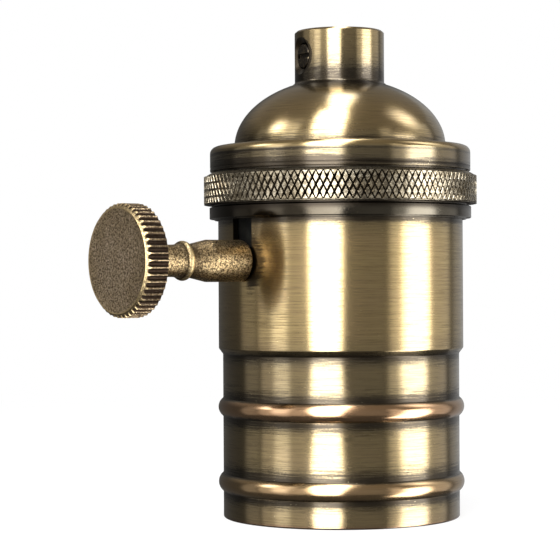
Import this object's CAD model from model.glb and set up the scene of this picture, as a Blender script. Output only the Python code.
"""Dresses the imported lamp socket: turned, rolled and knurled antique brass over black mouldings.

Sizes are in mm, and MM turns them to metres. The origin is the centre of the neck's mouth, +Z is up and the
knob points along -X.
"""

import math

import bpy
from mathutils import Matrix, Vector


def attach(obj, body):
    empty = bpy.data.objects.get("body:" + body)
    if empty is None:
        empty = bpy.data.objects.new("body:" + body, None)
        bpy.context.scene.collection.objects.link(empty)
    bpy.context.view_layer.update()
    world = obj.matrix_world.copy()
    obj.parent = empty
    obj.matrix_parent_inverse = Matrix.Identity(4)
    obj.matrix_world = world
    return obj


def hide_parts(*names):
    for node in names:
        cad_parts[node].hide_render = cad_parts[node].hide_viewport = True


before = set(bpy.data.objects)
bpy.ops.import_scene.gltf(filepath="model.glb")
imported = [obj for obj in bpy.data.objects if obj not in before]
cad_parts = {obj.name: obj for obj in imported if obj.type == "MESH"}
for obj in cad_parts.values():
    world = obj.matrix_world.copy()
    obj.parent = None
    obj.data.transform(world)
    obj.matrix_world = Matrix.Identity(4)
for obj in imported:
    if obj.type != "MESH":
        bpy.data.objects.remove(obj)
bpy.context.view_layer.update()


# Cap: neck, dome and rim, turned from one brass bar. A skirt with a fine thread goes on down inside the ring,
# and the neck is tapped for the lamp tube. The finish is brushed round, blackened, then rubbed back.

MM = 0.001
SAME_POINT = 0.0005 * MM
ROUND = 192
FILLET_STEPS = 4

NECK_RADIUS = 7.2
NECK_BORE = 5.0
NECK_FILLET = 0.42
DOME_RADIUS = 17.0
DOME_RISE = 11.05
DOME_BASE = -18.6103
CAP_WALL = 1.6
CAP_RIM_RADIUS = 20.95
CAP_RIM_ROUND = 1.1
CAP_GROOVE_RADIUS = 20.86
CAP_BASE = DOME_BASE - 4.0
SHOULDER_RADIUS = 17.95
SHOULDER_HEIGHT = DOME_BASE - 1.8
SKIRT_RADIUS = 20.15
SKIRT_BORE = 19.05
SKIRT_BASE = DOME_BASE - 6.9


def start_piece():
    """Leaves edit mode, with nothing selected."""
    if bpy.context.object and bpy.context.object.mode != "OBJECT":
        bpy.ops.object.mode_set(mode="OBJECT")
    bpy.ops.object.select_all(action="DESELECT")


def only(piece):
    """Selects one piece alone."""
    start_piece()
    piece.select_set(True)
    bpy.context.view_layer.objects.active = piece


def soften(corners):
    """An outline of (radius, height, fillet) corners with each corner rounded to its fillet."""
    outline = []
    for number, (radius, height, fillet) in enumerate(corners):
        here = Vector((radius, height))
        if fillet == 0 or number in (0, len(corners) - 1):
            outline.append((radius, height))
            continue
        before = (Vector(corners[number - 1][:2]) - here).normalized()
        after = (Vector(corners[number + 1][:2]) - here).normalized()
        half = before.angle(after) / 2
        back = fillet / math.tan(half)
        centre = here + (before + after).normalized() * (fillet / math.sin(half))
        first = here + before * back - centre
        last = here + after * back - centre
        for step in range(FILLET_STEPS + 1):
            share = step / FILLET_STEPS
            arm = (first * (1 - share) + last * share).normalized() * fillet
            outline.append(tuple(centre + arm))
    return outline


def sweep_arc(centre, radii, start, end, steps):
    """Points on an arc of a circle or ellipse, its angles in degrees from the outward direction."""
    turns = [math.radians(start + (end - start) * step / steps) for step in range(steps + 1)]
    return [(centre[0] + radii[0] * math.cos(t), centre[1] + radii[1] * math.sin(t)) for t in turns]


def start_point(name, radius, height):
    """A piece of one point, in edit mode, to be drawn out from there."""
    start_piece()
    bpy.ops.mesh.primitive_plane_add(size=MM)
    piece = bpy.context.object
    piece.name = piece.data.name = name
    bpy.ops.object.mode_set(mode="EDIT")
    bpy.ops.mesh.select_mode(type="VERT")
    bpy.ops.mesh.select_all(action="SELECT")
    bpy.ops.mesh.merge(type="CENTER")
    bpy.ops.transform.translate(value=(radius * MM, 0, height * MM))
    return piece


def draw_on(out, up):
    """Extrudes the last point by so much outwards and upwards."""
    bpy.ops.mesh.extrude_vertices_move(TRANSFORM_OT_translate={"value": (out * MM, 0, up * MM)})


def merge_points():
    bpy.ops.mesh.select_all(action="SELECT")
    bpy.ops.mesh.remove_doubles(threshold=SAME_POINT)
    bpy.ops.mesh.select_all(action="SELECT")


def turn_on_lathe(name, outline, around=ROUND, closed=True):
    """One point drawn along an outline of (radius, height), then spun about the lamp's axis."""
    piece = start_point(name, *outline[0])
    path = outline + outline[:1] if closed else outline
    for (r0, z0), (r1, z1) in zip(path, path[1:]):
        draw_on(r1 - r0, z1 - z0)
    merge_points()
    bpy.ops.mesh.spin(steps=around, angle=math.tau, center=(0, 0, 0), axis=(0, 0, 1))
    merge_points()
    bpy.ops.mesh.normals_make_consistent(inside=False)
    bpy.ops.object.mode_set(mode="OBJECT")
    return piece


def smooth(piece, degrees=30):
    """Shades a piece smooth, but for its edges that are sharper than this."""
    only(piece)
    bpy.ops.object.shade_smooth_by_angle(angle=math.radians(degrees))


def wind_thread(name, crest, root, low, high, pitch=1.0):
    """A thread's ridge wound about the lamp's axis between two heights."""
    flank = 0.36 * pitch
    flat = 0.12 * pitch
    foot = flank + flat + flank
    ridge = start_point(name, root, low - foot / 2)
    for out, up in ((crest - root, flank), (0, flat), (root - crest, flank), (0, -foot)):
        draw_on(out, up)
    merge_points()
    bpy.ops.object.mode_set(mode="OBJECT")
    turns = (high - low) / pitch
    winding = ridge.modifiers.new("winding", "SCREW")
    winding.angle = math.tau * turns
    winding.screw_offset = (high - low) * MM
    winding.steps = winding.render_steps = round(72 * turns)
    winding.use_merge_vertices = False
    bpy.ops.object.modifier_apply(modifier="winding")
    bpy.ops.object.mode_set(mode="EDIT")
    bpy.ops.mesh.select_all(action="DESELECT")
    bpy.ops.mesh.select_non_manifold()
    bpy.ops.mesh.fill()
    bpy.ops.mesh.select_all(action="SELECT")
    bpy.ops.mesh.normals_make_consistent(inside=False)
    bpy.ops.object.mode_set(mode="OBJECT")
    smooth(ridge, 35)
    return ridge


def cut_away(piece, *tools):
    """Takes each tool's shape out of a piece."""
    only(piece)
    for tool in tools:
        cut = piece.modifiers.new(tool.name, "BOOLEAN")
        cut.operation = "DIFFERENCE"
        cut.solver = "EXACT"
        cut.object = tool
        bpy.ops.object.modifier_apply(modifier=cut.name)
    start_piece()
    for tool in tools:
        tool.select_set(True)
    bpy.ops.object.delete()
    only(piece)


class Wire:
    """A socket in a finish. Sums written with it add the nodes that work them out."""

    def __init__(self, finish, socket):
        self.finish = finish
        self.socket = socket

    def sum(self, operation, first, second):
        return self.finish.add("ShaderNodeMath", {"operation": operation}, {0: first, 1: second})

    def __add__(self, other):
        return self.sum("ADD", self, other)

    def __radd__(self, other):
        return self.sum("ADD", other, self)

    def __sub__(self, other):
        return self.sum("SUBTRACT", self, other)

    def __rsub__(self, other):
        return self.sum("SUBTRACT", other, self)

    def __mul__(self, other):
        return self.sum("MULTIPLY", self, other)

    def __truediv__(self, other):
        return self.sum("DIVIDE", self, other)

    def __pow__(self, other):
        return self.sum("POWER", self, other)

    def __gt__(self, other):
        return self.sum("GREATER_THAN", self, other)

    def __lt__(self, other):
        return self.sum("LESS_THAN", self, other)


class Finish:
    """The nodes of one surface finish."""

    def __init__(self, name, **constants):
        self.material = bpy.data.materials.new(name)
        self.material.use_nodes = True
        self.nodes = self.material.node_tree.nodes
        self.links = self.material.node_tree.links
        self.shader = self.nodes["Principled BSDF"]
        for socket, value in constants.items():
            self.shader.inputs[socket.replace("_", " ")].default_value = value

    def add(self, kind, settings=None, sockets=None, out=0):
        """A node of this kind, with its settings and then the values or links of its sockets.

        Gives back the output that is asked for, or a list of them."""
        node = self.nodes.new(kind)
        for key, value in (settings or {}).items():
            setattr(node, key, value)
        for key, value in (sockets or {}).items():
            self.join(value, node.inputs[key])
        if isinstance(out, tuple):
            return [Wire(self, node.outputs[name]) for name in out]
        return Wire(self, node.outputs[out])

    def join(self, value, socket):
        if isinstance(value, Wire):
            self.links.new(value.socket, socket)
        else:
            socket.default_value = (*value, 1.0) if socket.type == "RGBA" else value

    def feed(self, **wires):
        """Joins a value or wire to each named socket of the shader."""
        for socket, wire in wires.items():
            self.join(wire, self.shader.inputs[socket.replace("_", " ")])

    def spot(self):
        """Where a point lies on the part, in metres."""
        return self.add("ShaderNodeTexCoord", out="Object")

    def place(self):
        """The spot, and its x, y and z in mm."""
        spot = self.spot()
        x, y, z = self.add("ShaderNodeSeparateXYZ", None, {0: spot}, ("X", "Y", "Z"))
        return spot, x * (1 / MM), y * (1 / MM), z * (1 / MM)

    def unroll(self, x, y, z):
        """The place counted round the axis and down the outline, so that grain runs as a lathe brushes it."""
        radius = (x * x + y * y) ** 0.5
        turned = {0: x / radius * (18 * MM), 1: y / radius * (18 * MM), 2: (z - radius) * MM}
        return self.add("ShaderNodeCombineXYZ", None, turned)

    def grain(self, spot, sizes, detail=2.0, rough=0.5):
        """Noise from 0 to 1 whose grains have these sizes along x, y and z."""
        scale = tuple(1 / MM / size for size in sizes)
        stretched = self.add("ShaderNodeMapping", None, {"Vector": spot, "Scale": scale})
        noise = {"Vector": stretched, "Scale": 1.0, "Detail": detail, "Roughness": rough}
        return self.add("ShaderNodeTexNoise", None, noise)

    def band(self, value, stops):
        """How strong something is along a stretch of a value, from its (place, strength) stops."""
        low = stops[0][0]
        high = stops[-1][0]
        share = self.add("ShaderNodeMapRange", None, {"Value": value, "From Min": low, "From Max": high})
        strength = self.add("ShaderNodeValToRGB", None, {"Fac": share})
        ramp = strength.socket.node.color_ramp
        while len(ramp.elements) < len(stops):
            ramp.elements.new(1.0)
        for element, (place, level) in zip(ramp.elements, stops):
            element.position = (place - low) / (high - low)
            element.color = (level, level, level, 1.0)
        return strength

    def blend(self, share, first, second):
        """A colour between two colours."""
        return self.add("ShaderNodeMix", {"data_type": "RGBA"}, {0: share, 6: first, 7: second}, 2)

    def ease(self, value, low, high):
        """0 below the low value, 1 above the high one, and a soft step between."""
        step = {"Value": value, "From Min": low, "From Max": high}
        return self.add("ShaderNodeMapRange", {"interpolation_type": "SMOOTHSTEP"}, step)

    def bump(self, height, depth):
        """Fine relief of this depth."""
        return self.add("ShaderNodeBump", None, {"Height": height, "Distance": depth * MM}, "Normal")


DEEP_BRASS = (0.335, 0.242, 0.106)
PALE_BRASS = (0.495, 0.375, 0.178)
WARM_BRASS = (0.400, 0.280, 0.150)
COPPERY_BRASS = (0.500, 0.280, 0.160)
SMOKED_BRASS = (0.106, 0.091, 0.062)
BLACKENED_BRASS = (0.034, 0.026, 0.018)
BRIGHT_SPECK = (0.80, 0.68, 0.44)


def antique_brass(name, tarnish, smoke, hollow, copper=None):
    """Brass brushed round its axis.

    Tarnish, smoke and copper are (height, strength) stops from the bottom up: of the blackening, of the grey
    film over it and of the coppery rubbing. Hollow adds blackening to what the stops can't reach."""
    finish = Finish(name, Metallic=1.0, Anisotropic=0.65, Anisotropic_Rotation=0.25, Coat_Roughness=0.12)
    spot, x, y, z = finish.place()
    lanes = finish.unroll(x, y, z)
    hairlines = finish.grain(lanes, (3.4, 3.4, 0.08), 3.0, 0.62)
    scratches = finish.grain(lanes, (9.0, 9.0, 0.24), 2.0, 0.5)
    cloud = finish.grain(spot, (7.0, 7.0, 4.0), 3.0, 0.55)
    speck = finish.ease(finish.grain(spot, (0.34, 0.34, 0.22), 1.0, 0.5), 0.75, 0.82)
    stipple = finish.grain(spot, (0.2, 0.2, 0.2), 1.0, 0.5)
    brushing = hairlines * 0.6 + scratches * 0.4

    wavy = z + (scratches - 0.5) * 0.45 + (cloud - 0.5) * 0.35
    dirt = finish.band(wavy, tarnish)
    film = finish.band(wavy, smoke)
    streaks = finish.ease(brushing, 0.38, 0.62)
    uneven = (0.5 - streaks) * 0.38 + (0.5 - cloud) * 0.2 + (0.5 - stipple) * 0.5
    dark = finish.ease(dirt + uneven + hollow(finish, x, y, z), 0.18, 0.84)

    tone = finish.blend(streaks, DEEP_BRASS, PALE_BRASS)
    tone = finish.blend(finish.ease(cloud, 0.3, 0.75) * 0.45, tone, WARM_BRASS)
    if copper:
        tone = finish.blend(finish.band(wavy, copper) * 0.8, tone, COPPERY_BRASS)
    tone = finish.blend(film * 0.92, tone, SMOKED_BRASS)
    tone = finish.blend(dark * 0.93, tone, BLACKENED_BRASS)
    tone = finish.blend(speck * 0.6, tone, BRIGHT_SPECK)
    finish.feed(
        Base_Color=tone,
        Roughness=0.20 - film * 0.03 + dark * 0.12 + (0.5 - streaks) * 0.08,
        Coat_Weight=0.50 + film * 0.10 - dark * 0.35,
        Normal=finish.bump(brushing, 0.010),
    )
    return finish.material


dome_meet = math.degrees(math.acos((NECK_RADIUS + 0.4) / DOME_RADIUS))
inner_meet = math.degrees(math.acos(NECK_BORE / (DOME_RADIUS - CAP_WALL)))
cap_outline = soften(
    [
        (NECK_BORE, -0.42, 0),
        (NECK_BORE + 0.42, 0, 0.06),
        (NECK_RADIUS - 0.38, 0, 0.10),
        (NECK_RADIUS, -0.34, 0.10),
        (NECK_RADIUS, -8.0, 0),
    ]
)
cap_outline += sweep_arc((NECK_RADIUS + NECK_FILLET, -8.18), (NECK_FILLET, NECK_FILLET), 180, 248, 4)
cap_outline += sweep_arc((0, DOME_BASE), (DOME_RADIUS, DOME_RISE), dome_meet, 3.5, 26)
cap_outline += soften(
    [
        (DOME_RADIUS, DOME_BASE + 0.35, 0),
        (DOME_RADIUS + 0.05, DOME_BASE - 0.02, 0.12),
        (DOME_RADIUS + 0.5, DOME_BASE, 0.1),
        (CAP_RIM_RADIUS - CAP_RIM_ROUND, DOME_BASE, 0),
    ]
)
rim_round = (CAP_RIM_RADIUS - CAP_RIM_ROUND, DOME_BASE - CAP_RIM_ROUND)
cap_outline += sweep_arc(rim_round, (CAP_RIM_ROUND, CAP_RIM_ROUND), 86, 0, 8)
cap_outline += soften(
    [
        (CAP_RIM_RADIUS, CAP_BASE + 0.66, 0),
        (CAP_GROOVE_RADIUS, CAP_BASE + 0.60, 0.03),
        (CAP_GROOVE_RADIUS, CAP_BASE + 0.50, 0.03),
        (CAP_RIM_RADIUS, CAP_BASE + 0.44, 0.03),
        (CAP_RIM_RADIUS, CAP_BASE, 0.09),
        (SKIRT_RADIUS, CAP_BASE, 0),
        (SKIRT_RADIUS, SKIRT_BASE, 0.1),
        (SKIRT_BORE, SKIRT_BASE, 0.1),
        (SKIRT_BORE, CAP_BASE, 0.1),
        (SHOULDER_RADIUS, CAP_BASE, 0.1),
        (SHOULDER_RADIUS, SHOULDER_HEIGHT, 0.2),
        (DOME_RADIUS - CAP_WALL, DOME_BASE, 0),
    ]
)
cap_outline += sweep_arc((0, DOME_BASE), (DOME_RADIUS - CAP_WALL, DOME_RISE - CAP_WALL), 3, inner_meet, 14)
cap = turn_on_lathe("antique_cap", cap_outline)

GRUB_HEIGHT = -4.2
GRUB_TURN = math.radians(170)
GRUB_HOLE_RADIUS = 2.1
COUNTERSINK_RADIUS = 3.0


def set_in_neck(piece):
    """Points an upright piece out through the side of the neck, at the grub screw's height."""
    out = Vector((math.cos(GRUB_TURN), math.sin(GRUB_TURN), 0))
    piece.rotation_euler = out.to_track_quat("Z", "Y").to_euler()
    piece.location = (0, 0, GRUB_HEIGHT * MM)
    only(piece)
    bpy.ops.object.transform_apply()


drill = turn_on_lathe(
    "drill",
    [
        (0, NECK_RADIUS + 1),
        (COUNTERSINK_RADIUS + 0.6, NECK_RADIUS + 1),
        (COUNTERSINK_RADIUS, NECK_RADIUS),
        (GRUB_HOLE_RADIUS, NECK_RADIUS - 0.7),
        (GRUB_HOLE_RADIUS, NECK_BORE / 2),
        (0, NECK_BORE / 2),
    ],
    48,
    closed=False,
)
set_in_neck(drill)
cut_away(cap, drill)
smooth(cap)


def less_worn(finish, x, y):
    """Rises round the knob's side, which the hand that screws the ring rubs least."""
    return finish.ease(y * 0.60 - x * 0.80, -9.0, 9.0)


def cap_hollows(finish, x, y, z):
    """The blackened wall of the grub screw's hole, and the rim's uneven patina."""
    across = y * math.cos(GRUB_TURN) - x * math.sin(GRUB_TURN)
    above = z - GRUB_HEIGHT
    away = (across * across + above * above) ** 0.5
    in_hole = (1 - finish.ease(away, 2.7, 3.15)) * (x < -4.0)
    on_rim = z < -19.9
    return in_hole * 1.2 + less_worn(finish, x, y) * on_rim * 0.46


cap_brass = antique_brass(
    "antique_brass_cap",
    tarnish=[
        (-26.0, 0.9), (-22.7, 0.9), (-22.6, 0.4), (-22.1, 0.98), (-21.7, 0.55), (-21.0, 0.10),
        (-20.3, 0.06), (-19.95, 0.6), (-19.65, 0.06), (-18.9, 0.04), (-18.7, 0.3), (-18.4, 0.62),
        (-17.8, 0.45), (-16.6, 0.16), (-12.0, 0.12), (-10.0, 0.25), (-9.2, 0.5), (-8.75, 0.9),
        (-8.4, 0.6), (-8.0, 0.85), (-6.6, 0.66), (-5.6, 0.36), (-4.5, 0.16), (-1.2, 0.12),
        (-0.3, 0.02), (0.5, 0.0),
    ],
    smoke=[
        (-26.0, 1.0), (-21.8, 0.84), (-20.3, 0.72), (-19.9, 0.9), (-19.6, 0.3), (-19.1, 0.05),
        (-18.6, 0.1), (-18.3, 0.5), (-17.2, 0.3), (-13.0, 0.2), (-10.5, 0.45), (-9.0, 0.85),
        (-8.3, 1.0), (-6.8, 1.0), (-5.4, 0.7), (-3.5, 0.45), (-0.4, 0.3), (0.5, 0.0),
    ],
    hollow=cap_hollows,
)
cap.data.materials.append(cap_brass)
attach(cap, "cap")
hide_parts("cap")

cap_thread = wind_thread("cap_thread", crest=20.36, root=20.1, low=-25.0, high=-23.1)
tapped_thread = wind_thread("tapped_thread", crest=4.62, root=5.04, low=-8.4, high=-0.9)
for ridge in (cap_thread, tapped_thread):
    ridge.data.materials.append(cap_brass)
    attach(ridge, "cap")


# Grub screw: a small slotted screw in a countersunk hole in the side of the neck. It bites on the lamp tube
# and keeps the holder from coming unscrewed.

GRUB_RADIUS = 1.9
GRUB_LENGTH = 1.4
GRUB_OUT = 6.7


def upright_cylinder(name, radius, low, high, around, ends="NGON"):
    """A cylinder round the lamp's axis between two heights."""
    start_piece()
    bpy.ops.mesh.primitive_cylinder_add(
        vertices=around,
        radius=radius * MM,
        depth=(high - low) * MM,
        end_fill_type=ends,
        location=(0, 0, (low + high) / 2 * MM),
    )
    piece = bpy.context.object
    piece.name = piece.data.name = name
    bpy.ops.object.transform_apply()
    return piece


grub = upright_cylinder("slotted_grub_screw", GRUB_RADIUS, GRUB_OUT - GRUB_LENGTH, GRUB_OUT, 40)
bevel = grub.modifiers.new("edge", "BEVEL")
bevel.width = 0.18 * MM
bevel.segments = 3
bevel.limit_method = "ANGLE"
bpy.ops.object.modifier_apply(modifier="edge")
start_piece()
bpy.ops.mesh.primitive_cube_add(size=1, location=(0, 0, GRUB_OUT * MM), scale=(6 * MM, 0.7 * MM, 1.1 * MM))
driver_slot = bpy.context.object
cut_away(grub, driver_slot)
set_in_neck(grub)
smooth(grub)


def blackened_screw():
    """Blackened steel, rubbed a little by the screwdriver."""
    finish = Finish("blackened_screw", Metallic=1.0)
    spot = finish.spot()
    rubbed = finish.ease(finish.grain(spot, (0.5, 0.5, 0.5), 3.0), 0.45, 0.75)
    finish.feed(
        Base_Color=finish.blend(rubbed, (0.035, 0.029, 0.023), (0.17, 0.135, 0.085)),
        Roughness=0.42 - rubbed * 0.15,
        Normal=finish.bump(finish.grain(spot, (0.12, 0.12, 0.12), 2.0), 0.01),
    )
    return finish.material


grub.data.materials.append(blackened_screw())
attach(grub, "cap")
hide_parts("grub_screw")


# Union ring: brass ring with a band of diamond knurling over a plain collar. It screws on the cap's skirt,
# and the lip inside it catches the shell's flange. The flat tops of the diamonds are rubbed bright.

RING_RADIUS = 21.945
RING_BORE = 20.45
RING_TOP = CAP_BASE - 0.3
RING_LIP = RING_TOP - 4.0
RING_LIP_BORE = 19.925
KNURL_BASE = RING_TOP - 5.0
GROOVE_RADIUS = 20.36
COLLAR_RADIUS = 21.05
COLLAR_TOP = -28.33
COLLAR_BASE = RING_TOP - 7.3
KNURL_TOP = -23.36
KNURL_FOOT = -27.80
KNURL_DEPTH = 0.27
DIAMONDS = 123
DIAMOND_HEIGHT = (KNURL_TOP - KNURL_FOOT) / 2
RISING_GROOVE = 0.215
FALLING_GROOVE = 0.150


def pick(piece, kind, wanted):
    """Goes to edit mode with the points, edges or faces selected whose corner places are wanted."""
    only(piece)
    mesh = piece.data
    for group in (mesh.vertices, mesh.edges, mesh.polygons):
        group.foreach_set("select", [False] * len(group))
    for item in getattr(mesh, kind):
        corners = [item.co] if kind == "vertices" else [mesh.vertices[i].co for i in item.vertices]
        item.select = wanted([corner / MM for corner in corners])
    bpy.context.tool_settings.mesh_select_mode = [kind == own for own in ("vertices", "edges", "polygons")]
    bpy.ops.object.mode_set(mode="EDIT")


def between_diamonds(corners):
    """True for the upright and level edges of the knurl's grid, but not for the band's two rims."""
    a, b = corners
    level = abs(a.z - b.z) < 0.01
    upright = abs(a.x - b.x) + abs(a.y - b.y) < 0.01
    at_rim = level and min(abs(a.z - KNURL_TOP), abs(a.z - KNURL_FOOT)) < 0.01
    return (level or upright) and not at_rim


def set_radius(points, radius):
    for point in points:
        out = Vector((point.co.x, point.co.y)).normalized() * radius * MM
        point.co.xy = out


def groove_side(count, groove):
    """The near side of the nearest groove, where grooves lie at whole counts and each is this wide."""
    return round(count - 0.5) + (groove if count % 1 < 0.5 else 1 - groove)


def grow_rim(piece, outline):
    """Extrudes the selected rim along an outline of (radius, height), each step made truly round."""
    for radius, height in outline:
        bpy.ops.mesh.extrude_edges_move(TRANSFORM_OT_translate={"value": (0, 0, 0)})
        bpy.ops.object.mode_set(mode="OBJECT")
        chosen = [point for point in piece.data.vertices if point.select]
        set_radius(chosen, radius)
        for point in chosen:
            point.co.z = height * MM
        bpy.ops.object.mode_set(mode="EDIT")


ring = upright_cylinder("knurled_ring", RING_RADIUS, KNURL_FOOT, KNURL_TOP, DIAMONDS, "NOTHING")
pick(ring, "edges", lambda c: abs(c[0].z - c[1].z) > 0.5)
bpy.ops.mesh.subdivide(number_cuts=1)
bpy.ops.mesh.select_all(action="SELECT")
bpy.ops.mesh.poke()
pick(ring, "edges", between_diamonds)
bpy.ops.mesh.dissolve_edges(use_verts=False)
bpy.ops.object.mode_set(mode="OBJECT")
in_grooves = len(ring.data.vertices)
pick(ring, "polygons", lambda c: True)
bpy.ops.mesh.inset(thickness=0.09 * MM, use_individual=True, use_even_offset=True)
bpy.ops.object.mode_set(mode="OBJECT")
for number, point in enumerate(ring.data.vertices):
    if number < in_grooves:
        set_radius([point], RING_RADIUS - KNURL_DEPTH)
        continue
    along = math.atan2(point.co.x, point.co.y) / math.tau * DIAMONDS
    up = (point.co.z / MM - KNURL_FOOT) / DIAMOND_HEIGHT
    if 0.1 < up < 1.9:
        rising = groove_side(along + up, RISING_GROOVE)
        falling = groove_side(along - up, FALLING_GROOVE)
        turn = (rising + falling) / 2 / DIAMONDS * math.tau
        height = KNURL_FOOT + (rising - falling) / 2 * DIAMOND_HEIGHT
        point.co = (math.sin(turn) * MM, math.cos(turn) * MM, height * MM)
    set_radius([point], RING_RADIUS)

ring_outline = soften(
    [
        (21.0, -22.95, 0),
        (20.9, RING_TOP, 0.05),
        (RING_BORE + 0.17, RING_TOP, 0.05),
        (RING_BORE, -23.08, 0.05),
        (RING_BORE, RING_LIP, 0),
        (RING_LIP_BORE, RING_LIP, 0.05),
        (RING_LIP_BORE, COLLAR_BASE - 0.2, 0.06),
        (RING_LIP_BORE + 0.35, COLLAR_BASE - 0.2, 0.06),
        (RING_LIP_BORE + 0.35, COLLAR_BASE, 0.04),
        (COLLAR_RADIUS, COLLAR_BASE, 0.14),
        (COLLAR_RADIUS, COLLAR_TOP, 0.12),
        (GROOVE_RADIUS + 0.24, COLLAR_TOP, 0),
        (GROOVE_RADIUS, COLLAR_TOP + 0.13, 0.05),
        (GROOVE_RADIUS, KNURL_BASE, 0.05),
        (RING_RADIUS, KNURL_BASE, 0.03),
        (RING_RADIUS, -27.82, 0),
    ]
)
pick(ring, "edges", lambda c: min(c[0].z, c[1].z) > KNURL_TOP - 0.01)
grow_rim(ring, ring_outline)
bpy.ops.mesh.select_all(action="DESELECT")
bpy.ops.mesh.select_non_manifold()
bpy.ops.mesh.bridge_edge_loops()
merge_points()
bpy.ops.mesh.normals_make_consistent(inside=False)
bpy.ops.object.mode_set(mode="OBJECT")
smooth(ring, 20)


def knurled_brass():
    """Bright flats between black grooves, over a smooth black collar."""
    finish = Finish("knurled_ring_brass", Metallic=1.0, Coat_Roughness=0.14)
    spot, x, y, z = finish.place()
    radius = (x * x + y * y) ** 0.5
    cloud = finish.grain(spot, (5.0, 5.0, 3.0), 3.0)
    hairlines = finish.grain(spot, (2.2, 2.2, 0.07), 3.0, 0.6)
    pit = finish.ease(finish.grain(spot, (0.30, 0.30, 0.16), 1.0), 0.60, 0.70)
    fleck = finish.ease(finish.grain(spot, (0.55, 0.55, 0.45), 2.0, 0.6), 0.44, 0.58)
    in_band = finish.band(z, [(-31.0, 0), (-28.0, 0), (-27.9, 1), (-23.4, 1), (-23.3, 0.3), (-22.5, 0)])
    on_collar = finish.ease(0 - z, 27.95, 28.1)
    sunk = (1 - finish.ease(radius, 21.76, 21.92)) * in_band
    corner = finish.band(
        z + (hairlines - 0.5) * 0.12,
        [
            (-30.5, 0.5), (-30.2, 0.45), (-29.95, 0.1), (-29.6, 0.1), (-29.1, 0.40), (-28.4, 0.9),
            (-27.95, 1.0), (-27.8, 0.0), (-23.2, 0.0), (-22.95, 0.1), (-22.8, 0.4),
        ],
    )
    dark = finish.ease(sunk + corner + pit * in_band * 0.36 + (0.5 - cloud) * 0.3, 0.2, 0.8)
    tone = finish.blend(finish.ease(cloud, 0.35, 0.7), (0.440, 0.392, 0.300), (0.305, 0.258, 0.180))
    tone = finish.blend((1 - fleck) * in_band * 0.72, tone, (0.075, 0.058, 0.036))
    black = finish.blend(less_worn(finish, x, y), (0.085, 0.075, 0.058), (0.022, 0.017, 0.011))
    tone = finish.blend(on_collar * 0.95, tone, black)
    tone = finish.blend(dark * 0.95, tone, (0.022, 0.017, 0.012))
    finish.feed(
        Base_Color=tone,
        Roughness=0.27 + dark * 0.14 - on_collar * 0.15 + (hairlines - 0.5) * 0.08,
        Coat_Weight=on_collar * 0.09,
        Normal=finish.bump(hairlines + pit * -0.6, 0.006),
    )
    return finish.material


ring.data.materials.append(knurled_brass())
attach(ring, "ring")
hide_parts("union_ring")


# Shell: drawn brass tube with a flange at the top for the ring, a step where it narrows, two rolled beads and
# a rim turned in round the lamp's way in. A slot with a round end lets the spindle through. The beads and the
# bottom edge are rubbed to a coppery colour, and the blackening stays in the corners beside them.

SHELL_RADIUS = 19.675
LOWER_RADIUS = 19.0
SHELL_WALL = 0.9
FLANGE_RADIUS = 20.15
SHELL_TOP = RING_TOP - 2.9
FLANGE_BASE = SHELL_TOP - 0.8
SWITCH_HEIGHT = -37.0103
SHELL_MIDDLE = -38.0
STEP_TOP = -50.9103
STEP_BASE = STEP_TOP - 0.9
BEADS = (-60.31, -72.31)
RIM = -78.009
RIM_BORE = 17.4
SLOT_WIDTH = 4.9
SLOT_LENGTH = 14
SLOT_OUT = 19.5


def rolled_bead(wall, height, stand, half):
    """The bulge of a bead on a wall, with small fillets where it leaves the wall."""
    bulge = (half**2 + stand**2) / (2 * stand)
    turn = math.degrees(math.asin(half / bulge))
    outline = [(wall, height + half + 0.12), (wall + 0.03, height + half)]
    outline += sweep_arc((wall + stand - bulge, height), (bulge, bulge), turn - 6, 6 - turn, 12)
    return outline + [(wall + 0.03, height - half), (wall, height - half - 0.12)]


shell_outline = soften(
    [
        (19.3, SHELL_TOP, 0),
        (FLANGE_RADIUS, SHELL_TOP, 0.1),
        (FLANGE_RADIUS, FLANGE_BASE, 0.1),
        (SHELL_RADIUS, FLANGE_BASE, 0),
        (SHELL_RADIUS, SHELL_MIDDLE, 0),
        (SHELL_RADIUS, STEP_TOP, 0.45),
        (LOWER_RADIUS, STEP_BASE, 0.35),
        (LOWER_RADIUS, STEP_BASE - 3.1, 0),
    ]
)
for height in BEADS:
    shell_outline += rolled_bead(LOWER_RADIUS, height, 0.77, 1.45)
shell_outline += soften(
    [
        (LOWER_RADIUS, RIM + 2.0, 0),
        (LOWER_RADIUS, RIM, 0.28),
        (RIM_BORE, RIM, 0.2),
        (RIM_BORE, RIM + SHELL_WALL, 0.2),
        (LOWER_RADIUS - SHELL_WALL, RIM + SHELL_WALL, 0),
        (LOWER_RADIUS - SHELL_WALL, RIM + 3, 0),
    ]
)
for height in reversed(BEADS):
    shell_outline += reversed(rolled_bead(LOWER_RADIUS - SHELL_WALL, height, 0.55, 1.0))
shell_outline += [
    (LOWER_RADIUS - SHELL_WALL, STEP_BASE - 0.4),
    (SHELL_RADIUS - SHELL_WALL, STEP_TOP - 0.4),
    (SHELL_RADIUS - SHELL_WALL, SHELL_MIDDLE),
    (SHELL_RADIUS - SHELL_WALL, SHELL_TOP),
]
shell = turn_on_lathe("brushed_shell", shell_outline)

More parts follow.
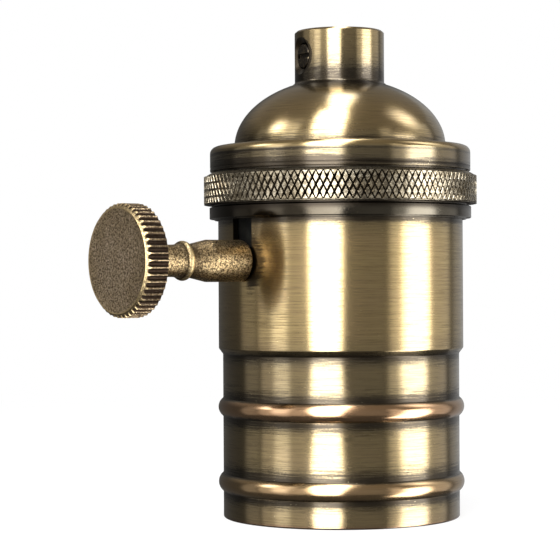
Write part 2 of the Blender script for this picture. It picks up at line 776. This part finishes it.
start_piece()
bpy.ops.mesh.primitive_cylinder_add(
    vertices=64,
    radius=SLOT_WIDTH / 2 * MM,
    depth=4 * MM,
    location=(-SLOT_OUT * MM, 0, SWITCH_HEIGHT * MM),
    rotation=(0, math.pi / 2, 0),
)
slot_end = bpy.context.object
start_piece()
bpy.ops.mesh.primitive_cube_add(
    size=1,
    location=(-SLOT_OUT * MM, 0, (SWITCH_HEIGHT + SLOT_LENGTH / 2) * MM),
    scale=(4 * MM, SLOT_WIDTH * MM, SLOT_LENGTH * MM),
)
slot_way = bpy.context.object
cut_away(shell, slot_end, slot_way)
smooth(shell)


def shell_hollows(finish, x, y, z):
    """The blackened cut edge of the slot, and the part beside the knob's barrel that no rubbing reached."""
    out = (x * x + y * y) ** 0.5
    above = z - SWITCH_HEIGHT
    in_slot = (1 - finish.ease(out, 19.52, 19.62)) * (z > -45.0)
    near_barrel = finish.ease(6.3 - (y * y + above * above) ** 0.5, 0.0, 2.6)
    beside = near_barrel * (x < 0) * finish.ease(0 - y, 0.5, 2.5)
    return in_slot * 1.3 + beside * 0.8


shell_brass = antique_brass(
    "antique_brass_shell",
    tarnish=[
        (-78.3, 0.5), (-77.3, 0.12), (-76.0, 0.12), (-75.0, 0.42), (-74.0, 0.95), (-73.55, 0.5),
        (-73.1, 0.05), (-71.2, 0.08), (-70.95, 0.9), (-70.4, 0.82), (-69.4, 0.48), (-68.0, 0.2),
        (-64.4, 0.14), (-63.1, 0.48), (-62.0, 0.96), (-61.55, 0.4), (-61.2, 0.05), (-59.2, 0.08),
        (-58.95, 0.92), (-58.3, 0.8), (-57.4, 0.45), (-56.0, 0.14), (-53.8, 0.18), (-52.6, 0.5),
        (-51.8, 0.95), (-51.4, 0.55), (-50.7, 0.2), (-33.0, 0.1), (-31.6, 0.25), (-30.9, 0.75),
        (-25.8, 0.9),
    ],
    smoke=[
        (-78.3, 0.5), (-77.0, 0.45), (-75.0, 0.55), (-74.0, 0.85), (-73.2, 0.1), (-71.3, 0.1),
        (-70.8, 0.9), (-69.0, 0.5), (-67.0, 0.38), (-63.5, 0.45), (-62.2, 0.85), (-61.2, 0.1),
        (-59.3, 0.1), (-58.8, 0.9), (-57.2, 0.6), (-54.0, 0.52), (-52.0, 0.9), (-50.8, 0.3),
        (-48.0, 0.06), (-34.0, 0.0), (-31.5, 0.35), (-30.8, 0.9), (-25.8, 1.0),
    ],
    hollow=shell_hollows,
    copper=[
        (-78.2, 1.0), (-77.75, 0.9), (-77.45, 0.1), (-74.0, 0.0), (-73.4, 0.4), (-72.3, 0.45),
        (-71.2, 0.35), (-70.8, 0.0), (-62.0, 0.0), (-61.4, 0.9), (-60.3, 0.85), (-59.2, 0.8),
        (-58.8, 0.0), (-50.0, 0.0),
    ],
)
shell.data.materials.append(shell_brass)
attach(shell, "holder")
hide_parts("shell")


# Knob: one casting, a ribbed disc for the fingers on a turned neck, with a bead and a tapered barrel that is
# bored for the spindle. The skin is grainy, dark in the hollows and rubbed to gold on its edges.

KNOB_RADIUS = 8.55
FACE_RADIUS = 7.95
FACE = 42.575
BACK = 38.575
KNOB_MIDDLE = (FACE + BACK) / 2
RIBS = 50
RIB_SINK = (0.0, 0.0, 0.22, 0.40, 0.42, 0.42, 0.40, 0.22)
BARREL_RADIUS = 3.25
BARREL_BORE = 2.25
BARREL_END = 19.85
BEAD_MIDDLE = 30.82

knob = upright_cylinder("cast_knob", KNOB_RADIUS, BACK, FACE, RIBS * len(RIB_SINK), "NOTHING")


def rib_sink(corner):
    """How far a point of the disc's edge lies under the tops of the ribs."""
    number = round(math.atan2(corner.x, corner.y) / math.tau * RIBS * len(RIB_SINK))
    return RIB_SINK[number % len(RIB_SINK)]


def close_rim():
    """Fills the selected rim with a fan of faces to its middle."""
    bpy.ops.mesh.extrude_edges_move(TRANSFORM_OT_translate={"value": (0, 0, 0)})
    bpy.ops.mesh.merge(type="CENTER")


for sink in sorted(set(RIB_SINK))[1:]:
    pick(knob, "vertices", lambda c: rib_sink(c[0]) == sink)
    narrow = (KNOB_RADIUS - sink) / KNOB_RADIUS
    bpy.ops.transform.resize(value=(narrow, narrow, 1), center_override=(0, 0, 0))
    bpy.ops.object.mode_set(mode="OBJECT")
only(knob)
for point in knob.data.vertices:
    past_face = Vector((point.co.x, point.co.y)).length / MM - FACE_RADIUS
    on_face = point.co.z > KNOB_MIDDLE * MM
    point.co.z = (FACE - past_face if on_face else BACK + past_face * 0.55) * MM

pick(knob, "edges", lambda c: min(c[0].z, c[1].z) > KNOB_MIDDLE)
face_outline = [(FACE_RADIUS, FACE), (FACE_RADIUS - 0.28, FACE - 0.02), (7.3, FACE - 0.06)]
face_outline += [(5.0, FACE - 0.05), (2.2, FACE - 0.05)]
grow_rim(knob, face_outline)
close_rim()

stem_outline = [(FACE_RADIUS, BACK), (7.4, BACK + 0.02), (3.4, BACK)]
stem_outline += sweep_arc((3.2, BACK - 0.7), (0.7, 0.7), 100, 180, 5)
stem_outline += [(2.5, 35.2), (2.45, 33.4), (2.46, 32.6), (2.52, 32.0), (2.62, 31.6)]
stem_outline += sweep_arc((2.55, BEAD_MIDDLE), (0.5, 0.62), 78, -92, 10)
stem_outline += soften(
    [
        (2.50, 30.05, 0),
        (2.56, 29.6, 0.15),
        (BARREL_RADIUS, 26.4, 0.2),
        (BARREL_RADIUS, BARREL_END, 0.2),
        (BARREL_BORE, BARREL_END, 0.1),
        (BARREL_BORE, 25.0, 0),
    ]
)
pick(knob, "edges", lambda c: max(c[0].z, c[1].z) < KNOB_MIDDLE)
grow_rim(knob, stem_outline)
close_rim()
merge_points()
bpy.ops.mesh.normals_make_consistent(inside=False)
bpy.ops.object.mode_set(mode="OBJECT")


def lay_on_switch_axis(piece):
    """Turns an upright piece to point along -X, at the switch's height."""
    piece.rotation_euler = (0, -math.pi / 2, 0)
    piece.location = (0, 0, SWITCH_HEIGHT * MM)
    only(piece)
    bpy.ops.object.transform_apply()


lay_on_switch_axis(knob)
smooth(knob, 32)


def cast_brass():
    """A sandy skin: dark brown on the disc and the stem, gold on the ribs' ends and on the bead."""
    finish = Finish("cast_knob_brass", Metallic=1.0)
    spot, x, y, z = finish.place()
    above = z - SWITCH_HEIGHT
    radius = (y * y + above * above) ** 0.5
    sand = finish.grain(spot, (0.34, 0.34, 0.34), 3.0, 0.75)
    fine = finish.grain(spot, (0.11, 0.11, 0.11), 2.0, 0.7)
    cloud = finish.grain(spot, (2.6, 2.6, 2.6), 3.0, 0.6)
    glint = finish.ease(finish.grain(spot, (0.16, 0.16, 0.16), 1.0), 0.68, 0.76)
    mottle = finish.ease(sand * 0.45 + fine * 0.55, 0.45, 0.55)
    speckle = finish.ease(sand * 0.62 + fine * 0.38, 0.46, 0.56)

    on_stem = finish.ease(x, -38.7, -38.2)
    on_disc = 1 - on_stem
    behind_edge = finish.ease(radius - x, 46.0, 46.6)
    groove = on_disc * behind_edge * (1 - finish.ease(radius, 8.26, 8.50)) * finish.ease(radius, 7.9, 8.1)
    edge = on_disc * finish.ease(radius - x, 50.20, 50.48)
    land = on_disc * finish.ease(radius, 8.1, 8.3) * finish.ease(x, -42.1, -41.3)
    middle = 1 - finish.ease(radius, 2.0, 7.4)
    bead = on_stem * finish.band(0 - x, [(30.1, 0), (30.4, 1), (31.1, 1), (31.4, 0)])
    hollow = finish.band(
        0 - x,
        [
            (19.6, 0.1), (20.3, 0.6), (22.5, 0.95), (26.0, 0.85), (28.5, 1.05), (29.4, 1.6), (30.1, 1.6),
            (30.35, -1.3), (31.15, -1.3), (31.4, 1.7), (32.2, 1.0), (36.5, 0.9), (38.2, 1.4), (39.2, 1.4),
        ],
    )
    sheltered = groove * 1.3 + hollow * on_stem * 0.69 + on_disc * 0.62 + land * 0.30 - edge * 1.3
    dark = finish.ease(sheltered + (0.5 - mottle) * 1.3 + (0.5 - cloud) * 0.7, -0.1, 0.85)
    rubbed = speckle * (0.24 + finish.ease(cloud, 0.38, 0.64) * 0.30 + middle * 0.26)

    gold = finish.blend(fine, (0.36, 0.25, 0.115), (0.62, 0.47, 0.26))
    brown = finish.blend(on_disc, (0.026, 0.016, 0.009), (0.052, 0.035, 0.022))
    tone = finish.blend(dark * 0.96, gold, brown)
    tone = finish.blend(on_disc * (1 - edge) * (1 - land * 0.6) * rubbed, tone, (0.70, 0.56, 0.42))
    tone = finish.blend(groove * (1 - edge) * 0.95, tone, (0.014, 0.008, 0.005))
    tone = finish.blend((edge * 0.72 + bead) * (0.15 + mottle * 0.40), tone, (0.66, 0.53, 0.29))
    tone = finish.blend(glint * (1 - groove) * 0.55, tone, (0.85, 0.72, 0.50))
    finish.feed(
        Base_Color=tone,
        Roughness=0.33 + dark * 0.14,
        Normal=finish.bump(sand * 0.4 + fine * 0.6, 0.055),
    )
    return finish.material


knob.data.materials.append(cast_brass())
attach(knob, "knob")
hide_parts("knob")


# Spindle: turned brass shaft, pressed into the knob's barrel. Its collar runs against the inside of the
# housing, so that the knob can't be pulled out.

SPINDLE_RADIUS = 1.95
SPINDLE_REAR = -9.45
SPINDLE_FRONT = 27.975
SPINDLE_COLLAR = (5.15, 6.15)
SPINDLE_COLLAR_STAND = 1.15

spindle = upright_cylinder("spindle_shaft", SPINDLE_RADIUS, SPINDLE_REAR, SPINDLE_FRONT, 48)
pick(spindle, "polygons", lambda c: True)
for height in SPINDLE_COLLAR:
    bpy.ops.mesh.select_all(action="SELECT")
    bpy.ops.mesh.bisect(plane_co=(0, 0, height * MM), plane_no=(0, 0, 1))
pick(spindle, "polygons", lambda c: all(SPINDLE_COLLAR[0] - 0.01 < p.z < SPINDLE_COLLAR[1] + 0.01 for p in c))
stand_out = {"value": SPINDLE_COLLAR_STAND * MM}
bpy.ops.mesh.extrude_region_shrink_fatten(TRANSFORM_OT_shrink_fatten=stand_out)
bpy.ops.object.mode_set(mode="OBJECT")
lay_on_switch_axis(spindle)
smooth(spindle)


def plated(name, pale, deep, worn=0.28, roughness=0.24, grain=0.5):
    """Bare or plated metal with faint draw marks and a little tarnish."""
    finish = Finish(name, Metallic=1.0)
    spot = finish.spot()
    cloud = finish.grain(spot, (3.0, 3.0, 3.0), 4.0, 0.6)
    fine = finish.grain(spot, (grain, grain, grain * 0.2), 3.0, 0.6)
    dull = finish.ease(cloud, 0.42, 0.68)
    finish.feed(
        Base_Color=finish.blend(dull * worn, pale, deep),
        Roughness=roughness + dull * 0.14 + (fine - 0.5) * 0.1,
        Normal=finish.bump(fine, 0.006),
    )
    return finish.material


bright_brass = plated("plain_brass", (0.74, 0.545, 0.25), (0.42, 0.27, 0.11), 0.6)
spindle.data.materials.append(bright_brass)
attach(spindle, "knob")
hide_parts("spindle")


# Insulating sleeve and socket body: a black fibre tube that stands on the shell's inturned rim, and inside it
# the moulded cup that holds the screw shell clear of the metal.

SLEEVE_RADIUS = 17.8
SLEEVE_BORE = 17.0
SLEEVE_TOP = -45.81
SLEEVE_BASE = -76.81
BODY_RADIUS = 16.7
BODY_BORE = 14.05
BODY_TOP = STEP_TOP + 5.1
BODY_CEILING = BODY_TOP - 4.0
BODY_MOUTH = BODY_TOP - 29.2

sleeve_outline = soften(
    [
        (SLEEVE_BORE, SLEEVE_TOP, 0),
        (SLEEVE_RADIUS, SLEEVE_TOP, 0.1),
        (SLEEVE_RADIUS, SLEEVE_BASE, 0.1),
        (SLEEVE_BORE, SLEEVE_BASE, 0.1),
        (SLEEVE_BORE, SLEEVE_TOP - 0.39, 0),
    ]
)
sleeve = turn_on_lathe("fibre_sleeve", sleeve_outline, 128)
smooth(sleeve)


def vulcan_fibre():
    """Matt black fibre with short hairs along it."""
    finish = Finish("vulcan_fibre")
    hairs = finish.grain(finish.spot(), (0.25, 0.25, 1.2), 4.0, 0.65)
    finish.feed(
        Base_Color=finish.blend(finish.ease(hairs, 0.4, 0.7), (0.020, 0.018, 0.016), (0.052, 0.046, 0.040)),
        Roughness=0.72 + (hairs - 0.5) * 0.2,
        Normal=finish.bump(hairs, 0.03),
    )
    return finish.material


sleeve.data.materials.append(vulcan_fibre())
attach(sleeve, "holder")
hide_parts("insulating_sleeve")

body_outline = soften(
    [
        (0, BODY_TOP, 0),
        (BODY_RADIUS, BODY_TOP, 0.3),
        (BODY_RADIUS, BODY_MOUTH, 0.35),
        (BODY_BORE, BODY_MOUTH, 0.35),
        (BODY_BORE, BODY_CEILING, 0.3),
        (0, BODY_CEILING, 0),
    ]
)
socket_body = turn_on_lathe("moulded_socket_body", body_outline, 128, closed=False)
smooth(socket_body)


def moulding(name, pale, deep, roughness):
    """Phenolic moulding: a slightly pitted, faintly mottled skin."""
    finish = Finish(name, Specular_IOR_Level=0.04)
    spot = finish.spot()
    mottle = finish.grain(spot, (1.6, 1.6, 1.6), 4.0, 0.6)
    skin = finish.grain(spot, (0.18, 0.18, 0.18), 3.0, 0.6)
    finish.feed(
        Base_Color=finish.blend(finish.ease(mottle, 0.35, 0.7), deep, pale),
        Roughness=roughness + (skin - 0.5) * 0.2,
        Normal=finish.bump(skin, 0.012),
    )
    return finish.material


black_phenolic = moulding("phenolic_moulding", (0.006, 0.006, 0.005), (0.003, 0.003, 0.003), 0.6)
socket_body.data.materials.append(black_phenolic)
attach(socket_body, "holder")
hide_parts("socket_body")


# Screw shell: brass sheet with the lamp's thread rolled into it. Its flange is turned in under the floor of
# the socket body, where two rivets hold it.

THREAD_TOP = BODY_CEILING - 1.45
THREAD_FOOT = BODY_MOUTH + 1.5
THREAD_PITCH = 3.62
THREAD_RADIUS = 12.85
THREAD_SWING = 0.55
THREAD_RUN_OUT = 1.2
THREAD_STEPS = 72
THREAD_FLANGE_BORE = 8.6

thread_length = THREAD_TOP - THREAD_FOOT
sheet_outline = [(THREAD_FLANGE_BORE, THREAD_TOP)]
for step in range(THREAD_STEPS + 1):
    sheet_outline.append((THREAD_RADIUS + THREAD_SWING, THREAD_TOP - thread_length * step / THREAD_STEPS))
screw_shell = turn_on_lathe("rolled_screw_shell", sheet_outline, 96, closed=False)
for point in screw_shell.data.vertices:
    if Vector((point.co.x, point.co.y)).length > THREAD_RADIUS * MM:
        below_top = THREAD_TOP - point.co.z / MM
        turns = math.atan2(point.co.y, point.co.x) / math.tau
        full = max(0, min(1, below_top / THREAD_RUN_OUT, (thread_length - below_top) / THREAD_RUN_OUT))
        wave = math.cos(math.tau * (below_top / THREAD_PITCH - turns))
        set_radius([point], THREAD_RADIUS + THREAD_SWING * (1 - full + full * wave))
only(screw_shell)
sheet = screw_shell.modifiers.new("sheet", "SOLIDIFY")
sheet.thickness = 0.33 * MM
sheet.offset = 1
bpy.ops.object.modifier_apply(modifier="sheet")
smooth(screw_shell, 40)
rolled_brass = plated("rolled_brass", (0.80, 0.60, 0.29), (0.50, 0.33, 0.14), 0.5, 0.2, 0.8)
screw_shell.data.materials.append(rolled_brass)
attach(screw_shell, "holder")
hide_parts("screw_shell")


# Rivets: three brass rivets, alike but for their length. Two close over the screw shell's flange, and the
# third over the leaf of the centre contact.

RIVET_HEAD_RADIUS = 1.7
RIVET_HEAD_SQUASH = 0.52
RIVET_SHANK_RADIUS = 1.1


def rivet(name, node, x, y, seat, top, spread=1):
    """A domed head under its seat, with the shank above it up to its top, which is spread by this much."""
    foot = (x * MM, y * MM, seat * MM)
    start_piece()
    bpy.ops.mesh.primitive_uv_sphere_add(
        segments=32, ring_count=16, radius=RIVET_HEAD_RADIUS * MM, location=foot
    )
    piece = bpy.context.object
    piece.name = piece.data.name = name
    bpy.ops.object.mode_set(mode="EDIT")
    bpy.ops.mesh.bisect(plane_co=foot, plane_no=(0, 0, 1), use_fill=True, clear_outer=True)
    bpy.ops.mesh.select_all(action="SELECT")
    bpy.ops.transform.resize(value=(1, 1, RIVET_HEAD_SQUASH), center_override=foot)
    bpy.ops.object.mode_set(mode="OBJECT")
    pick(piece, "polygons", lambda c: all(abs(p.z) < 0.01 for p in c))
    bpy.ops.mesh.inset(thickness=(RIVET_HEAD_RADIUS - RIVET_SHANK_RADIUS) * MM)
    bpy.ops.mesh.extrude_region_move(TRANSFORM_OT_translate={"value": (0, 0, (top - seat) * MM)})
    bpy.ops.transform.resize(value=(spread, spread, 1))
    bpy.ops.object.mode_set(mode="OBJECT")
    bpy.ops.object.transform_apply()
    smooth(piece, 40)
    piece.data.materials.append(rolled_brass)
    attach(piece, "holder")
    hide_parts(node)


shell_seat = THREAD_TOP - 0.3
shell_rivet_top = BODY_CEILING + 2.6
rivet("shell_rivet_left", "shell_rivet_1", -10.8, 0, shell_seat, shell_rivet_top)
rivet("shell_rivet_right", "shell_rivet_2", 10.8, 0, shell_seat, shell_rivet_top)
rivet("leaf_rivet", "contact_rivet", 0, -7.3, BODY_CEILING - 1.0, BODY_TOP + 4.0, spread=1.5)


# Centre contact, springs and terminals: strips of bronze, brass and nickelled brass that carry the current.
# The small screws are nickelled, apart from the live one.


def refinish(finish, *names):
    """Gives nodes of the frame another finish."""
    for name in names:
        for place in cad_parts[name].material_slots:
            place.material = finish


spring_bronze = plated("bronze_leaf", (0.70, 0.43, 0.24), (0.40, 0.22, 0.12), 0.55, 0.27)
nickel = plated("nickel_plate", (0.62, 0.60, 0.56), (0.36, 0.34, 0.30), 0.45, 0.22)
refinish(spring_bronze, "centre_contact", "switch_spring", "detent_spring")
refinish(bright_brass, "live_terminal", "live_terminal_screw", "rotor_band")
refinish(nickel, "neutral_terminal", "neutral_terminal_screw", "clamp_screw_1", "clamp_screw_2")


# Switch housing and rotor: two moulded phenolic halves, clamped by long screws round a turned fibre drum with
# a square cam. The spindle turns the drum.

refinish(black_phenolic, "switch_base", "switch_cover")
refinish(moulding("rotor_fibre", (0.23, 0.105, 0.050), (0.13, 0.055, 0.028), 0.55), "rotor")


# Studio: a pale table in a dim room, with tall soft lamps and grey cards round it for the brass to mirror.
# Its sizes are in metres.

TO_CAMERA = math.radians(233)
AIM = Vector((0, 0, -0.04))
DIM = (0.09, 0.088, 0.084)
HIGH = (0.30, 0.275, 0.24)
CARD_HEIGHT = 1.2
TABLE_TONE = 0.86
SKY_FILL = 0.45


def stand(azimuth, away, height):
    """A place round the holder. The azimuth is counted from the camera's side, positive to its right."""
    turn = TO_CAMERA + math.radians(azimuth)
    return Vector((away * math.cos(turn), away * math.sin(turn), height))


class Glow(Finish):
    """The nodes of a lamp or of the sky."""

    def __init__(self, source, shader):
        source.use_nodes = True
        self.nodes = source.node_tree.nodes
        self.links = source.node_tree.links
        self.shader = self.nodes[shader]

    def fade(self, share, edge):
        """1 in the middle of a lamp, and falling to nothing over this share of it at each side."""
        from_middle = self.add("ShaderNodeMath", {"operation": "ABSOLUTE"}, {0: share - 0.5})
        return self.ease(0.5 - from_middle, 0.0, edge)


def softbox(name, place, wide, tall, glow, fade_across, fade_along=0.15):
    """A soft lamp that is aimed at the holder and fades towards its edges."""
    data = bpy.data.lights.new(name, "AREA")
    data.shape = "RECTANGLE"
    data.size = wide
    data.size_y = tall
    data.energy = glow * math.pi * wide * tall
    light = Glow(data, "Emission")
    spot = light.add("ShaderNodeNewGeometry", out="Parametric")
    across, along = light.add("ShaderNodeSeparateXYZ", None, {0: spot}, ("X", "Y"))
    light.feed(Strength=light.fade(across, fade_across) * light.fade(along, fade_along))
    lamp = bpy.data.objects.new(name, data)
    bpy.context.scene.collection.objects.link(lamp)
    lamp.location = place
    lamp.rotation_euler = (AIM - place).to_track_quat("-Z", "Y").to_euler()
    lamp.visible_camera = False


softbox("key_softbox", stand(-15.5, 0.9, 0.35), 0.70, 2.9, 9.0, 0.20)
softbox("right_softbox", stand(73, 0.9, -0.32), 0.70, 1.34, 7.0, 0.26, 0.10)
softbox("left_softbox", stand(-60, 0.9, 0.10), 0.38, 2.0, 2.5, 0.3, 0.5)
softbox("high_left_softbox", stand(-80, 0.8, 0.46), 0.46, 0.56, 8.0, 0.5, 0.5)
softbox("high_right_softbox", stand(96, 0.8, 0.66), 0.66, 0.8, 4.4, 0.5, 0.5)
softbox("overhead_softbox", stand(-7, 0.05, 1.3), 0.44, 1.6, 7.5, 0.3, 0.2)


def seen_by_metal(sheet, paint, shade):
    """Makes a sheet glow for the metal to mirror, and hides it from all else."""
    shine = paint.add("ShaderNodeEmission", None, {"Color": shade})
    paint.join(shine, paint.nodes["Material Output"].inputs[0])
    sheet.data.materials.append(paint.material)
    sheet.visible_camera = False
    sheet.visible_shadow = False
    sheet.visible_diffuse = False


def card(name, azimuth, away, wide, level):
    """A tall card that dims to the room's level at its sides."""
    start_piece()
    bpy.ops.mesh.primitive_plane_add(size=1, location=stand(azimuth, away, 0.0), rotation=(math.pi / 2, 0, 0))
    sheet = bpy.context.object
    sheet.name = sheet.data.name = name
    sheet.scale = (wide, CARD_HEIGHT, 1)
    sheet.rotation_euler.z = TO_CAMERA + math.radians(azimuth + 90)
    bpy.ops.object.transform_apply()
    paint = Finish(name)
    spot = paint.add("ShaderNodeTexCoord", out="UV")
    across = paint.add("ShaderNodeSeparateXYZ", None, {0: spot}, "X")
    seen_by_metal(sheet, paint, paint.blend(paint.ease(across * (1 - across), 0.0, 0.22), DIM, level))


card("left_card", -76, 1.15, 0.44, (0.84, 0.81, 0.77))
card("back_left_card", -96, 1.20, 0.60, (0.42, 0.41, 0.39))
card("between_card", -42, 1.16, 0.50, (0.84, 0.81, 0.76))
card("front_card", 24, 1.20, 1.00, (0.33, 0.32, 0.30))
card("front_right_card", 51, 1.13, 0.36, (1.15, 1.12, 1.06))
card("right_card", 105, 1.17, 0.84, (0.84, 0.82, 0.79))
card("back_right_card", 148, 1.15, 1.20, (0.40, 0.40, 0.40))

start_piece()
bpy.ops.mesh.primitive_cylinder_add(vertices=96, radius=1.9, depth=4.4)
room = bpy.context.object
room.name = room.data.name = "dim_room"
room_paint = Finish("dim_room")
height = room_paint.place()[3]
seen_by_metal(room, room_paint, room_paint.blend(room_paint.ease(height, 350, 1250), DIM, HIGH))

start_piece()
bpy.ops.mesh.primitive_plane_add(size=6, location=(0, 0, RIM * MM))
table = bpy.context.object
table.name = table.data.name = "table"
bpy.ops.object.transform_apply()
pale = Finish("table_paint", Roughness=0.6, Base_Color=(TABLE_TONE, TABLE_TONE, TABLE_TONE, 1))
seen = pale.add("ShaderNodeLightPath", out="Is Camera Ray")
white = pale.add("ShaderNodeEmission", None, {"Color": (1.0, 1.0, 1.0), "Strength": 1.0})
away = pale.add("ShaderNodeVectorMath", {"operation": "LENGTH"}, {0: pale.spot()}, "Value")
share = seen * (TABLE_TONE + pale.ease(away, 0.08, 0.32) * (1 - TABLE_TONE))
painted = Wire(pale, pale.shader.outputs[0])
both = pale.add("ShaderNodeMixShader", None, {0: share, 1: painted, 2: white})
pale.join(both, pale.nodes["Material Output"].inputs[0])
table.data.materials.append(pale.material)
table.visible_glossy = False
table.visible_shadow = False

world = bpy.data.worlds.new("studio")
bpy.context.scene.world = world
sky = Glow(world, "Background")
seen, mirrored, through = sky.add(
    "ShaderNodeLightPath", out=("Is Camera Ray", "Is Glossy Ray", "Is Transmission Ray")
)
for ray in (mirrored, through):
    seen = sky.add("ShaderNodeMath", {"operation": "MAXIMUM"}, {0: seen, 1: ray})
sky.feed(Color=(1, 1, 1), Strength=SKY_FILL + seen * (1 - SKY_FILL))

lens = bpy.data.cameras.new("camera")
lens.lens = 125.5
lens.sensor_width = 36
lens.clip_start = 0.01
camera = bpy.data.objects.new("camera", lens)
bpy.context.scene.collection.objects.link(camera)
to_right = Vector((-math.sin(TO_CAMERA), math.cos(TO_CAMERA), 0))
camera.location = stand(0, 0.315, AIM.z) - to_right * 0.00976
camera.rotation_euler = stand(0, 1, 0).to_track_quat("Z", "Y").to_euler()
camera.rotation_euler.rotate_axis("Z", math.radians(-0.3))
bpy.context.scene.camera = camera
bpy.context.scene.view_settings.view_transform = "Standard"
